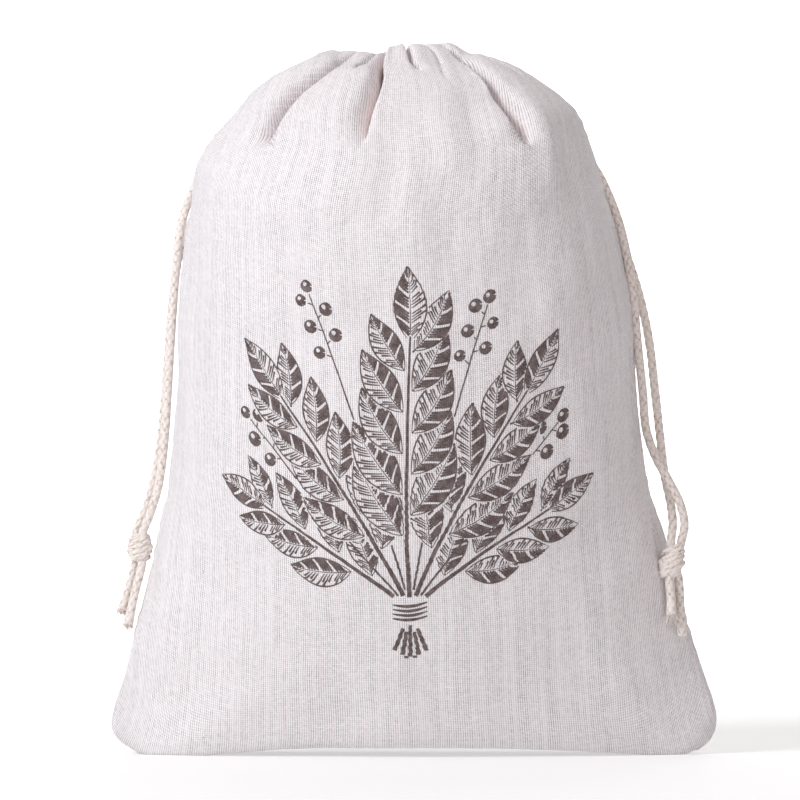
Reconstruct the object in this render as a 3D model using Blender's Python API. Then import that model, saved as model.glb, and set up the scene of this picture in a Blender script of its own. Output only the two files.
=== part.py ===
"""Linen bread bag, filled and standing, with its drawstrings pulled shut.

Two linen panels are sewn together along the bottom and both sides. Each panel is one thin
sheet, and its turned-in top hem is the casing that the drawstrings gather into a ring. Two
strands of cotton cord leave the casing at each side, hang down the flank, and are tied
together in a knot with two free tails.

Tables and sizes are in millimetres and degrees; the meshes are made in metres. +Z is up, the
front faces -Y, and the origin is on the surface that the bag stands on. An angle round the bag
is 0 at the middle of the front, 90 at the right side and 180 at the middle of the back.
"""
import math

import bmesh
import bpy
import numpy as np

MM = 0.001

CLOTH_THICKNESS = 1.2
SEAM_GAP = 0.3            # between the two panels, all along the seams
SEAM_ROLL = 1.35          # the cloth rolls this far out beside a seam
ARCH_RISE = 4.2           # the bottom seam is lifted this much between the two feet
ARCH_CENTRE = 4.0
ARCH_HALF_SPAN = 112.0
ARCH_FADE_HEIGHT = 60.0    # the arch has died out at this height
CORD_DIAMETER = 4.6
CORD_POINT_STEP = 10.0

# One row for each level of the cloth: its distance from the bottom seam along the cloth, its
# height at the side seams and at the middle, the outline's left and right edge, its depth in
# front and behind, how full its section is (2 is an ellipse), the share of the half width that
# lies at the middle's height, and the angles of the left and right seam.
LEVEL_COLUMNS = ("cloth", "z_side", "z_mid", "left", "right", "front", "back",
                 "fullness", "level_share", "left_seam", "right_seam")
LEVELS = (
    (0.0, 2.0, 0.0, -140.0, 141.5, 0.0, 0.0, 1.50, 0.88, -90.0, 90.0),
    (6.0, 5.5, 0.0, -146.0, 146.2, 7.0, 7.0, 1.50, 0.88, -90.0, 90.0),
    (13.0, 11.5, 0.0, -150.4, 149.7, 15.0, 15.0, 1.50, 0.88, -90.0, 90.0),
    (21.0, 19.0, 0.0, -150.4, 150.4, 24.0, 23.0, 1.50, 0.88, -90.0, 90.0),
    (29.0, 26.5, 0.8, -148.6, 148.8, 31.0, 29.5, 1.50, 0.86, -90.0, 90.0),
    (39.0, 36.0, 7.0, -145.3, 145.6, 36.5, 34.5, 1.52, 0.78, -91.0, 89.0),
    (52.0, 49.0, 19.0, -142.0, 141.3, 41.5, 39.0, 1.56, 0.62, -92.0, 87.0),
    (72.0, 68.0, 37.5, -137.8, 135.6, 48.5, 45.5, 1.64, 0.42, -94.0, 81.0),
    (92.0, 88.0, 57.0, -133.3, 130.8, 55.0, 52.0, 1.72, 0.28, -96.0, 76.0),
    (110.0, 106.0, 74.5, -128.8, 125.0, 60.0, 57.0, 1.80, 0.18, -97.0, 75.0),
    (124.0, 119.5, 88.5, -125.4, 120.2, 63.5, 60.5, 1.84, 0.14, -97.0, 78.0),
    (136.0, 131.5, 100.0, -123.2, 117.0, 66.0, 63.0, 1.88, 0.10, -97.0, 81.0),
    (150.0, 145.5, 113.5, -121.0, 115.0, 69.0, 66.0, 1.92, 0.10, -97.0, 79.0),
    (170.0, 165.5, 133.5, -119.6, 112.4, 72.0, 69.5, 1.96, 0.10, -98.0, 76.0),
    (197.0, 192.5, 160.5, -118.6, 110.2, 75.0, 73.0, 2.00, 0.10, -98.0, 77.0),
    (225.0, 220.5, 188.5, -117.2, 107.6, 77.5, 76.0, 2.00, 0.10, -98.0, 77.0),
    (255.0, 250.0, 218.0, -114.6, 102.8, 79.0, 78.6, 2.00, 0.10, -97.0, 78.0),
    (280.0, 274.5, 243.0, -111.4, 96.4, 79.0, 79.0, 2.00, 0.10, -96.0, 83.0),
    (300.0, 293.5, 263.0, -108.2, 91.0, 77.5, 76.5, 2.00, 0.10, -94.0, 88.0),
    (318.0, 309.5, 281.0, -98.0, 85.4, 74.5, 72.5, 2.00, 0.10, -92.0, 90.0),
    (332.0, 321.0, 294.5, -88.2, 79.6, 70.0, 66.5, 2.00, 0.10, -91.0, 90.0),
    (345.0, 330.0, 306.5, -80.2, 69.6, 64.0, 60.5, 2.00, 0.10, -90.0, 90.0),
    (357.0, 337.0, 317.0, -71.0, 59.6, 57.0, 54.0, 2.00, 0.10, -90.0, 90.0),
    (369.0, 342.5, 327.0, -60.2, 50.2, 49.0, 46.5, 2.00, 0.10, -90.0, 90.0),
    (380.0, 346.5, 335.5, -51.2, 39.4, 41.0, 39.5, 2.00, 0.10, -90.0, 90.0),
    (390.0, 349.4, 343.0, -46.0, 29.8, 34.5, 33.5, 2.00, 0.10, -90.0, 90.0),
    (399.0, 352.0, 349.5, -38.5, 21.8, 28.0, 27.5, 2.00, 0.10, -90.0, 90.0),
    (408.0, 351.5, 351.5, -29.5, 12.6, 20.5, 20.0, 2.00, 0.10, -90.0, 90.0),
    (416.0, 347.0, 347.0, -22.5, 5.5, 14.0, 14.0, 2.00, 0.10, -90.0, 90.0),
)
GATHER_LEVEL = 390.0      # the drawstrings' ring, as a distance along the cloth

# One row for each pleat that the drawstrings gather: its angle where it starts and at the
# ring, the level where it starts, and its depth at the ring.
PLEAT_COLUMNS = ("angle_start", "angle_ring", "start", "depth")
FRONT_PLEATS = (
    (-74.0, -79.0, 366.0, 6.0),
    (-50.0, -41.0, 326.0, 11.0),
    (-33.0, -27.0, 374.0, 6.0),
    (-13.5, -12.0, 330.0, 12.0),
    (10.0, 14.0, 378.0, 6.0),
    (26.0, 33.0, 368.0, 5.0),
    (42.0, 52.0, 319.0, 11.0),
    (70.0, 74.0, 352.0, 7.0),
)
BACK_PLEATS = (
    (104.0, 101.0, 366.0, 5.0),
    (126.0, 123.0, 336.0, 11.0),
    (148.0, 146.0, 350.0, 8.0),
    (170.0, 168.0, 326.0, 13.0),
    (190.0, 191.0, 348.0, 8.0),
    (211.0, 214.0, 332.0, 12.0),
    (231.0, 236.0, 352.0, 9.0),
    (254.0, 258.0, 366.0, 5.0),
)
PLEAT_LIP = 4.6           # half the angle across a pleat's mouth
PLEAT_FLOOR = 1.7         # half the angle across its floor
PLEAT_MOUTH_DEPTH = 2.2   # depth left at the casing's inner edge
RIDGE_BULGE = 0.13        # the cloth between pleats stands out by this share of their depth
COLUMN_SPACING = 11.0     # the angle between plain columns, at most
EDGE_ANGLE = 2.5          # the last column beside a seam

# Each free strand leaves the casing at the gathered ring and ends at its side's knot.
CORD_ROUTES = {
    "cord_left_front": ((-43.6, 20.9, 348.1), (-51.5, 27.3, 341.4), (-62.6, 36.2, 330.6),
                        (-76.4, 40.8, 317.6), (-92.4, 37.4, 304.4), (-105.4, 28.6, 291.6),
                        (-111.6, 18.0, 280.2), (-115.4, 8.2, 268.6), (-117.7, 1.2, 256.0),
                        (-119.1, -1.6, 240.0), (-121.3, -2.0, 209.0), (-123.1, -2.0, 179.0),
                        (-124.9, -2.6, 153.0), (-128.4, -3.5, 130.0), (-132.3, -3.6, 118.0),
                        (-135.3, -3.2, 110.5)),
    "cord_left_rear": ((-39.2, 28.4, 346.6), (-46.8, 34.4, 339.8), (-56.4, 41.8, 327.8),
                       (-67.4, 48.2, 312.6), (-84.4, 48.2, 297.2), (-100.0, 40.6, 282.8),
                       (-110.8, 27.8, 268.4), (-117.0, 13.6, 253.4), (-119.8, 5.4, 236.0),
                       (-122.3, 3.4, 208.0), (-124.6, 3.2, 178.0), (-127.2, 2.6, 152.0),
                       (-131.2, 1.8, 131.0), (-135.2, 1.8, 119.0), (-138.5, 1.8, 111.5)),
    "cord_right_inner": ((28.6, 20.9, 348.1), (40.0, 28.0, 341.0), (51.6, 35.6, 330.6),
                         (66.4, 39.6, 317.2), (80.8, 34.8, 304.4), (91.6, 23.4, 291.6),
                         (98.2, 12.6, 278.4), (103.0, 4.6, 264.6), (106.2, -1.0, 250.0),
                         (108.9, -4.8, 234.0), (111.6, -7.0, 205.0), (113.4, -8.5, 180.0),
                         (115.4, -9.0, 160.0), (120.0, -13.0, 147.0), (126.0, -16.5, 136.0),
                         (131.8, -17.0, 124.0), (133.8, -15.5, 114.5), (132.0, -15.4, 105.0)),
    "cord_right_outer": ((24.7, 28.0, 347.2), (35.0, 35.2, 339.6), (44.6, 42.0, 327.6),
                         (58.0, 48.6, 312.0), (73.2, 47.6, 296.2), (86.0, 39.4, 282.6),
                         (96.2, 27.4, 269.0), (104.0, 16.0, 254.6), (108.4, 8.0, 241.6),
                         (112.0, 3.2, 229.0), (117.0, 0.0, 205.0), (119.4, -1.0, 184.0),
                         (122.0, -3.0, 160.0), (124.6, -8.0, 137.0), (127.2, -11.4, 124.0),
                         (128.0, -14.6, 114.0), (127.0, -17.2, 105.7)),
}
TAIL_ROUTES = {
    "tail_left_front": ((-135.8, -3.2, 94.5), (-139.3, -3.8, 80.0), (-142.7, -3.8, 64.0)),
    "tail_left_rear": ((-139.2, 2.0, 95.0), (-142.2, 1.6, 83.5), (-145.9, 1.4, 71.0)),
    "tail_right_inner": ((126.2, -19.4, 86.4), (126.4, -20.2, 77.0), (125.8, -21.6, 69.0)),
    "tail_right_outer": ((131.0, -16.0, 86.5), (131.8, -15.6, 73.0), (132.8, -16.2, 58.9)),
}

# Each knot is a lump of wound turns: its centre, the tilt of its long axis to the right, its
# length and its width.
KNOT_COLUMNS = ("x", "y", "z", "tilt", "length", "width")
KNOTS = {
    "knot_left": (-137.0, -0.6, 102.8, -8.0, 15.0, 12.6),
    "knot_right": (128.8, -17.0, 95.8, 4.0, 18.0, 12.6),
}
KNOT_TURNS = 2.5          # wound turns from end to end
KNOT_RIDGE = 0.09         # their height, as a share of the knot's radius
KNOT_FULLNESS = 2.6       # 2 is an ellipsoid, more is squarer

KNOT_RINGS = 14
KNOT_SIDES = 16

LINEN_COLOUR = (0.80, 0.76, 0.77, 1.0)
CORD_COLOUR = (0.74, 0.66, 0.57, 1.0)
CLOTH_ROUGHNESS = 0.9


def row_at(table, columns, position):
    """The table's row at a position in its first column, on a smooth curve through its rows."""
    values = np.array(table, dtype=float)
    knots = values[:, 0]
    slopes = np.gradient(values, knots, axis=0)
    index = int(np.clip(np.searchsorted(knots, position) - 1, 0, len(knots) - 2))
    span = knots[index + 1] - knots[index]
    t = (position - knots[index]) / span
    start, end = values[index], values[index + 1]
    blend = (2 * t**3 - 3 * t**2 + 1) * start + (3 * t**2 - 2 * t**3) * end
    blend += span * ((t**3 - 2 * t**2 + t) * slopes[index] + (t**3 - t**2) * slopes[index + 1])
    return dict(zip(columns, blend))


def signed_power(value, exponent):
    return math.copysign(abs(value) ** exponent, value)


def smooth_point(level, angle):
    """A point of the bag at an angle round it, before the pleats are pressed in."""
    exponent = 2.0 / level["fullness"]
    across = signed_power(math.sin(math.radians(angle)), exponent)
    along = signed_power(math.cos(math.radians(angle)), exponent)
    half_width = (level["right"] - level["left"]) / 2
    x = (level["right"] + level["left"]) / 2 + half_width * across
    y = -along * (level["front"] if along > 0 else level["back"])
    share = level["level_share"]
    rise = max(0.0, (abs(across) - share) / (1 - share)) ** 2
    arch = max(0.0, 1 - ((x - ARCH_CENTRE) / ARCH_HALF_SPAN) ** 2)
    lift = ARCH_RISE * arch * max(0.0, 1 - level["z_mid"] / ARCH_FADE_HEIGHT)
    z = level["z_mid"] + lift + (level["z_side"] - level["z_mid"]) * rise
    return np.array((x, y, max(0.0, z)))


def level_at(cloth):
    return row_at(LEVELS, LEVEL_COLUMNS, min(max(cloth, LEVELS[0][0]), LEVELS[-1][0]))


def outward(cloth, angle):
    """The unit normal of the bag without its pleats, from points a little to each side."""
    turn, step = 3.0, 1.0
    level = level_at(cloth)
    around = smooth_point(level, angle + turn) - smooth_point(level, angle - turn)
    if not around.any():
        around = np.array((0.0, math.sin(math.radians(angle)), 0.0))
    up = smooth_point(level_at(cloth + step), angle) - smooth_point(level_at(cloth - step), angle)
    normal = np.cross(around, up)
    return normal / np.linalg.norm(normal)


def pleat_state(pleat, cloth):
    """A pleat's angle and depth at a level of the cloth."""
    row = dict(zip(PLEAT_COLUMNS, pleat))
    way = min(max((cloth - row["start"]) / (GATHER_LEVEL - row["start"]), 0.0), 1.0)
    angle = row["angle_start"] + (row["angle_ring"] - row["angle_start"]) * way**2
    depth = row["depth"] * math.sin(way * math.pi / 2)
    if cloth > GATHER_LEVEL:
        fade = (cloth - GATHER_LEVEL) / (LEVELS[-1][0] - GATHER_LEVEL)
        depth += (min(depth, PLEAT_MOUTH_DEPTH) - depth) * fade
    return angle, depth


def pleat_columns(angle, depth):
    """The four columns of one pleat: its two lips and the two sides of its floor."""
    return [(angle - PLEAT_LIP, 0.0), (angle - PLEAT_FLOOR, depth),
            (angle + PLEAT_FLOOR, depth), (angle + PLEAT_LIP, 0.0)]


def panel_columns(pleats, side, cloth, first_seam, last_seam):
    """The panel's columns at one level, as pairs of an angle and a depth below the surface."""
    middle = 0.0 if side < 0 else 180.0
    starts = [middle - 90.0] + [pleat[0] for pleat in pleats] + [middle + 90.0]
    groups = [[(first_seam, 0.0), (first_seam + EDGE_ANGLE, 0.0)]]
    groups += [pleat_columns(*pleat_state(pleat, cloth)) for pleat in pleats]
    groups += [[(last_seam - EDGE_ANGLE, 0.0), (last_seam, 0.0)]]
    columns = []
    for here, after, width in zip(groups, groups[1:], np.diff(starts)):
        count = max(1, round(width / COLUMN_SPACING) - 1)
        bulge = -RIDGE_BULGE * (here[1][1] + after[1][1]) / 2
        plain = np.linspace(here[-1][0], after[0][0], count + 2)[1:-1]
        columns += here + [(angle, bulge) for angle in plain]
    return columns + groups[-1]


def panel_grid(pleats, side):
    """The panel's outer surface as rows of points; side is -1 for the front, 1 for the back."""
    grid = []
    for row in LEVELS:
        level = dict(zip(LEVEL_COLUMNS, row))
        seams = (level["left_seam"], level["right_seam"])
        if side > 0:
            seams = (level["right_seam"], level["left_seam"] + 360)
        columns = panel_columns(pleats, side, level["cloth"], *seams)
        line = []
        for index, (angle, depth) in enumerate(columns):
            point = smooth_point(level, angle)
            if depth:
                point = point - depth * outward(level["cloth"], angle)
            on_seam = index in (0, len(columns) - 1) or level["cloth"] == 0
            point[1] += side * (SEAM_GAP / 2 if on_seam else SEAM_ROLL)
            line.append(point)
        grid.append(line)
    return np.array(grid)


def grid_normals(grid, side):
    """Outward unit normals; those on a seam lie in the seam's own plane."""
    normals = np.zeros_like(grid)
    across = grid[:-1, 1:] - grid[1:, :-1]
    along = grid[1:, 1:] - grid[:-1, :-1]
    faces = np.cross(across, along)
    faces /= np.linalg.norm(faces, axis=2, keepdims=True)
    for row_step in (0, 1):
        for column_step in (0, 1):
            rows = slice(row_step, row_step + faces.shape[0])
            columns = slice(column_step, column_step + faces.shape[1])
            normals[rows, columns] += faces
    seam_ends = (LEVEL_COLUMNS.index("left_seam"), LEVEL_COLUMNS.index("right_seam"))
    if side > 0:
        seam_ends = seam_ends[::-1]
    for row, table_row in enumerate(LEVELS):
        for column, seam_column in zip((0, -1), seam_ends):
            normals[row, column] = outward(table_row[0], table_row[seam_column])
    normals[0, 1:-1] = (0.0, 0.0, -1.0)
    return normals / np.linalg.norm(normals, axis=2, keepdims=True)


def make_material(name, colour):
    material = bpy.data.materials.new(name)
    material.use_nodes = True
    shader = material.node_tree.nodes["Principled BSDF"]
    shader.inputs["Base Color"].default_value = colour
    shader.inputs["Roughness"].default_value = CLOTH_ROUGHNESS
    shader.inputs["Metallic"].default_value = 0.0
    return material


def mesh_object(name, points, faces, colour):
    """A smooth object from points in millimetres and faces as lists of point numbers."""
    shape = bmesh.new()
    corners = [shape.verts.new(point * MM) for point in points]
    for face in faces:
        shape.faces.new([corners[number] for number in face])
    bmesh.ops.recalc_face_normals(shape, faces=shape.faces)
    mesh = bpy.data.meshes.new(name)
    shape.to_mesh(mesh)
    shape.free()
    mesh.shade_smooth()
    mesh.set_sharp_from_angle(angle=math.radians(60))
    mesh.materials.append(make_material(name + "_material", colour))
    thing = bpy.data.objects.new(name, mesh)
    bpy.context.scene.collection.objects.link(thing)
    return thing


def grid_faces(rows, columns, first, flip):
    """Triangles over a grid of points; each square is split on its first diagonal."""
    faces = []
    for row in range(rows - 1):
        for column in range(columns - 1):
            a = first + row * columns + column
            b, c, d = a + 1, a + columns + 1, a + columns
            pair = [(a, b, c), (a, c, d)]
            faces += [face[::-1] for face in pair] if flip else pair
    return faces


def make_panel(name, pleats, side):
    """One linen panel: a thin closed sheet with its outer face on the bag's surface."""
    outer = panel_grid(pleats, side)
    inner = outer - CLOTH_THICKNESS * grid_normals(outer, side)
    rows, columns = outer.shape[:2]
    points = np.concatenate((outer.reshape(-1, 3), inner.reshape(-1, 3)))
    count = rows * columns
    faces = grid_faces(rows, columns, 0, False) + grid_faces(rows, columns, count, True)
    rim = list(range(columns))
    rim += [row * columns + columns - 1 for row in range(1, rows)]
    rim += [(rows - 1) * columns + column for column in range(columns - 2, -1, -1)]
    rim += [row * columns for row in range(rows - 2, 0, -1)]
    for here, after in zip(rim, rim[1:] + rim[:1]):
        faces += [(after, here, here + count), (after, here + count, after + count)]
    return mesh_object(name, points, faces, LINEN_COLOUR)


def smooth_route(route, step):
    """Points about one step apart on a smooth curve through a route's points."""
    points = np.array(route, dtype=float)
    lengths = np.linalg.norm(np.diff(points, axis=0), axis=1)
    places = np.concatenate(((0.0,), np.cumsum(lengths)))
    table = np.column_stack((places, points))
    count = max(3, round(places[-1] / step))
    names = ("place", "x", "y", "z")
    rows = [row_at(table, names, place) for place in np.linspace(0, places[-1], count + 1)]
    return [(row["x"], row["y"], row["z"]) for row in rows]


def make_cord(name, route):
    """A strand of cord as a round tube with closed ends."""
    curve = bpy.data.curves.new(name, "CURVE")
    curve.dimensions = "3D"
    curve.bevel_depth = CORD_DIAMETER / 2 * MM
    curve.bevel_resolution = 2
    curve.render_resolution_u = 0
    curve.use_fill_caps = True
    points = smooth_route(route, CORD_POINT_STEP)
    spline = curve.splines.new("POLY")
    spline.points.add(len(points) - 1)
    for corner, point in zip(spline.points, points):
        corner.co = (point[0] * MM, point[1] * MM, point[2] * MM, 1.0)
    curve.materials.append(make_material(name + "_material", CORD_COLOUR))
    thing = bpy.data.objects.new(name, curve)
    bpy.context.scene.collection.objects.link(thing)
    return thing


def make_knot(name, knot):
    """A knot: a rounded lump whose wound turns are raised as slanting ridges."""
    rings, sides = KNOT_RINGS, KNOT_SIDES
    points = []
    for ring in range(1, rings):
        height = math.cos(math.pi * ring / rings)
        girth = (1 - abs(height) ** KNOT_FULLNESS) ** (1 / KNOT_FULLNESS)
        for side in range(sides):
            turn = 2 * math.pi * side / sides
            wave = math.cos(2 * math.pi * KNOT_TURNS * (height / 2) + 2 * turn)
            radius = knot["width"] / 2 * girth * (1 - KNOT_RIDGE * (1 - wave))
            points.append((radius * math.cos(turn), radius * math.sin(turn),
                           knot["length"] / 2 * height))
    points += [(0.0, 0.0, knot["length"] / 2), (0.0, 0.0, -knot["length"] / 2)]
    tilt = math.radians(knot["tilt"])
    placed = [np.array((knot["x"] + x * math.cos(tilt) + z * math.sin(tilt), knot["y"] + y,
                        knot["z"] - x * math.sin(tilt) + z * math.cos(tilt)))
              for x, y, z in points]
    top, bottom = len(points) - 2, len(points) - 1
    last = (rings - 2) * sides
    faces = []
    for side in range(sides):
        after = (side + 1) % sides
        faces.append((top, side, after))
        faces.append((bottom, last + after, last + side))
        for ring in range(rings - 2):
            a, b = ring * sides + side, ring * sides + after
            faces += [(a, a + sides, b + sides), (a, b + sides, b)]
    return mesh_object(name, placed, faces, CORD_COLOUR)


def main():
    for thing in list(bpy.data.objects):
        bpy.data.objects.remove(thing, do_unlink=True)
    make_panel("front_panel", FRONT_PLEATS, -1)
    make_panel("back_panel", BACK_PLEATS, 1)
    for name, route in {**CORD_ROUTES, **TAIL_ROUTES}.items():
        make_cord(name, route)
    for name, values in KNOTS.items():
        make_knot(name, dict(zip(KNOT_COLUMNS, values)))


main()
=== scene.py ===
"""Looks of the linen bread bag: two woven sheets, a leaf print, plaited cords and their knots.

Tables and sizes are in millimetres and degrees, in the frame of the CAD model, and the meshes are
made in metres. +Z is up and the front faces -Y. An angle round the bag is 0 at the middle of the
front, 90 at the right side and 180 at the middle of the back. A place on the cloth is given by
its distance from the bottom seam along the cloth and, across it, by its distance from the middle.
"""
import math

import bmesh
import bpy
import numpy as np
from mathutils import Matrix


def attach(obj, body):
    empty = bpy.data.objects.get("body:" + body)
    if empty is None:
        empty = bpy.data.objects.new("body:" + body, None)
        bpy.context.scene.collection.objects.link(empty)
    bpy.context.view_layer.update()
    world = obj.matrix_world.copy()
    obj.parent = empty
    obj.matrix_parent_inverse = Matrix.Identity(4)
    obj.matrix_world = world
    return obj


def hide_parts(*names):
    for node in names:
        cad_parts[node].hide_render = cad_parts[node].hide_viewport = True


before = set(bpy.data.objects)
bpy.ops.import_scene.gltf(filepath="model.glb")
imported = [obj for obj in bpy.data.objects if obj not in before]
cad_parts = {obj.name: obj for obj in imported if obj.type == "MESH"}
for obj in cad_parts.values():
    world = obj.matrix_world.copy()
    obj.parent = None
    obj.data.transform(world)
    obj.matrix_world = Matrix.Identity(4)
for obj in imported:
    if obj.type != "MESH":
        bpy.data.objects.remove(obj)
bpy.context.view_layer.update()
MM = 0.001

# ---- Camera: level, far off and in front, as the photograph shows the bag.
IMAGE_SIDE = 800
MM_PER_PIXEL = 0.4985
CAMERA_DISTANCE = 3000.0
CAMERA_X = -7.3
CAMERA_Z = 176.2
SENSOR = 36.0

# ---- The bag's form, as in the CAD model.
SEAM_GAP = 0.3  # between the two panels at their seams
SEAM_ROLL = 1.35  # inside its seams each panel stands this far from the middle plane
ARCH_RISE = 4.2
ARCH_CENTRE = 4.0
ARCH_HALF_SPAN = 112.0
ARCH_FADE_HEIGHT = 60.0
CORD_DIAMETER = 4.6

LEVEL_COLUMNS = ("cloth", "z_side", "z_mid", "left", "right", "front", "back",
                 "fullness", "level_share", "left_seam", "right_seam")
LEVELS = (
    (0, 2, 0, -140, 141.5, 0, 0, 1.5, 0.88, -90, 90),
    (6, 5.5, 0, -146, 146.2, 7, 7, 1.5, 0.88, -90, 90),
    (13, 11.5, 0, -150.4, 149.7, 15, 15, 1.5, 0.88, -90, 90),
    (21, 19, 0, -150.4, 150.4, 24, 23, 1.5, 0.88, -90, 90),
    (29, 26.5, 0.8, -148.6, 148.8, 31, 29.5, 1.5, 0.86, -90, 90),
    (39, 36, 7, -145.3, 145.6, 36.5, 34.5, 1.52, 0.78, -91, 89),
    (52, 49, 19, -142, 141.3, 41.5, 39, 1.56, 0.62, -92, 87),
    (72, 68, 37.5, -137.8, 135.6, 48.5, 45.5, 1.64, 0.42, -94, 81),
    (92, 88, 57, -133.3, 130.8, 55, 52, 1.72, 0.28, -96, 76),
    (110, 106, 74.5, -128.8, 125, 60, 57, 1.8, 0.18, -97, 75),
    (124, 119.5, 88.5, -125.4, 120.2, 63.5, 60.5, 1.84, 0.14, -97, 78),
    (136, 131.5, 100, -123.2, 117, 66, 63, 1.88, 0.1, -97, 81),
    (150, 145.5, 113.5, -121, 115, 69, 66, 1.92, 0.1, -97, 79),
    (170, 165.5, 133.5, -119.6, 112.4, 72, 69.5, 1.96, 0.1, -98, 76),
    (197, 192.5, 160.5, -118.6, 110.2, 75, 73, 2, 0.1, -98, 77),
    (225, 220.5, 188.5, -117.2, 107.6, 77.5, 76, 2, 0.1, -98, 77),
    (255, 250, 218, -114.6, 102.8, 79, 78.6, 2, 0.1, -97, 78),
    (280, 274.5, 243, -111.4, 96.4, 79, 79, 2, 0.1, -96, 83),
    (300, 293.5, 263, -108.2, 91, 77.5, 76.5, 2, 0.1, -94, 88),
    (318, 309.5, 281, -98, 85.4, 74.5, 72.5, 2, 0.1, -92, 90),
    (332, 321, 294.5, -88.2, 79.6, 70, 66.5, 2, 0.1, -91, 90),
    (345, 330, 306.5, -80.2, 69.6, 64, 60.5, 2, 0.1, -90, 90),
    (357, 337, 317, -71, 59.6, 57, 54, 2, 0.1, -90, 90),
    (369, 342.5, 327, -60.2, 50.2, 49, 46.5, 2, 0.1, -90, 90),
    (380, 346.5, 335.5, -51.2, 39.4, 41, 39.5, 2, 0.1, -90, 90),
    (390, 349.4, 343, -46, 29.8, 34.5, 33.5, 2, 0.1, -90, 90),
    (399, 352, 349.5, -38.5, 21.8, 28, 27.5, 2, 0.1, -90, 90),
    (408, 351.5, 351.5, -29.5, 12.6, 20.5, 20, 2, 0.1, -90, 90),
    (416, 347, 347, -22.5, 5.5, 14, 14, 2, 0.1, -90, 90),
)
GATHER_LEVEL = 390.0
MOUTH_LEVEL = LEVELS[-1][0]
FLAT_WIDTH = 300.0  # each panel before it is gathered

# One row for each pleat: its angle where it starts and at the drawstrings' ring, the level where
# it starts, its depth at the ring, the side that its sharp lip is on (1 is the right, seen from
# outside), the width of its gentle side, and the share of its way after which it is full.
FRONT_PLEATS = (
    (-74, -79, 366, 4, 1, 6, 1),
    (-51.6, -46.5, 322, 18, 1, 12.5, 0.3),
    (-33, -27, 380, 3.4, 1, 6, 1),
    (-15.2, -14.3, 337, 17, 1, 16, 0.7),
    (13.5, 11, 384, 5, -1, 6, 0.8),
    (26, 33, 374, 1.2, -1, 7, 1),
    (43.4, 51, 326, 18, -1, 12.5, 0.3),
    (70, 74, 352, 4, -1, 8, 1),
)
BACK_PLEATS = (
    (104, 101, 366, 4, 1, 6, 1),
    (126, 123, 336, 11, -1, 9, 0.4),
    (148, 146, 350, 7, 1, 7, 1),
    (170, 168, 326, 12, 1, 10, 0.5),
    (190, 191, 348, 7, -1, 7, 1),
    (211, 214, 332, 11, -1, 9, 0.4),
    (231, 236, 352, 7, 1, 7, 1),
    (254, 258, 366, 4, -1, 6, 1),
)
PLEAT_LIP_WIDTH = 2.0  # the steep side of a pleat
PLEAT_HOLLOW = 2.9  # the power of its gentle side's curve
PLEAT_ONSET_POWER = 1.2
PLEAT_TIGHTENING = 0.6  # the gentle side narrows by this share over these levels
PLEAT_TIGHT_LEVELS = (340.0, 395.0)
PLEAT_MOUTH_DEPTH = 2.2
# Relief beside a pleat's edge, as a share of its depth, a place and a width. The slot and the
# lip are in millimetres, and the crest's place and width are in widths of the gentle side.
PLEAT_SLOT = (-0.40, 0.4, 1.3)
PLEAT_LIP = (0.04, 2.4, 1.8)
PLEAT_CREST = (0.09, -1.6, 1.1)

# Soft troughs and ridges: where each starts and ends (level and angle), its depth (a ridge's is
# negative) and its width.
SWELL_FADE_POWER = 0.8
FRONT_SWELLS = (
    (296, -3, 364, -4, 3, 11),
    (296, 9, 372, 6, 1.6, 9),
    (316, 22, 378, 33, 1.7, 8),
    (296, -40, 334, -47, 1.6, 9),
    (318, 39, 356, 39, -1, 6.5),
    (294, 49.5, 356, 54.8, -3, 7.5),
    (320, -53.6, 352, -52.2, 4, 3),
    (328, 42.9, 364, 44.8, 3.2, 2.4),
    (292, 42, 344, 42, -1.4, 11),
    (330, -66, 396, -66, -2, 10),
    (40, 60, 330, 40, -3, 34),
    (120, -26, 300, -20, 0.8, 30),
    (8, -30, 74, -18, 1.5, 20),
    (14, -58, 70, -44, -1.5, 16),
)
BACK_SWELLS = (
    (290, 138, 360, 137, 1.6, 12),
    (296, 182, 352, 180, 1.5, 12),
    (284, 222, 350, 224, 1.5, 12),
    (224, 89, 270, 89, -0.8, 9),
    (60, 150, 300, 160, -1.6, 40),
    (90, 215, 280, 205, 1.2, 40),
)

# Gathers: the small folds that the drawstrings press into the casing.
GATHER_START = 374.0
GATHER_HEIGHT = 0.06
GATHER_PITCH = 26.0  # along the flat cloth
GATHER_SWAY = (4.0, 70.0, 3)  # how far they wander, the wavelength and the seed
GATHER_FADE = (0.45, 50.0, 8)  # how much their height varies, the wavelength and the seed
CASING_BULGE = 0.3  # the casing is full where the drawstrings run in it
CASING_BULGE_PLACE = (402.0, 6.0)  # level and half height
CASING_STITCH_DIP = 0.25
CASING_STITCH_PLACE = (390.0, 1.4)

# Ripples: the unevenness of filled cloth, and the puckers beside the seams.
RIPPLES = ((0.55, 46.0, 11), (0.22, 19.0, 23), (0.10, 8.0, 37))  # height, wavelength, seed
RIPPLE_WAVES = 9
RIPPLE_CALM = 0.65  # the ripples fade by this share over these levels
RIPPLE_CALM_LEVELS = (300.0, 345.0)
PUCKER_HEIGHT = 0.45
PUCKER_PITCH = 9.0
PUCKER_REACH = 9.0
PUCKER_SWAY = (2.4, 31.0, 5)
SEAM_WIDTH = 3.5  # the cloth rolls into the seam over this width

# How far the crest lies below an even one, by x; it fades in over CREST_FADE, from below.
CREST_DROPS = ((-46, 0), (-41, 1), (-37, 3.4), (-28, 3.6), (-24, 4.6), (-20, 4.4), (-17, 2.6),
               (-14.5, 0.3), (-11, 1), (-7, -0.4), (3, -0.7), (10, -0.3), (17, -0.4),
               (20, 0.6), (24, 1.8), (28, 1.6), (32, 0.2))
CREST_FADE = (338.0, 350.0)

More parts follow.
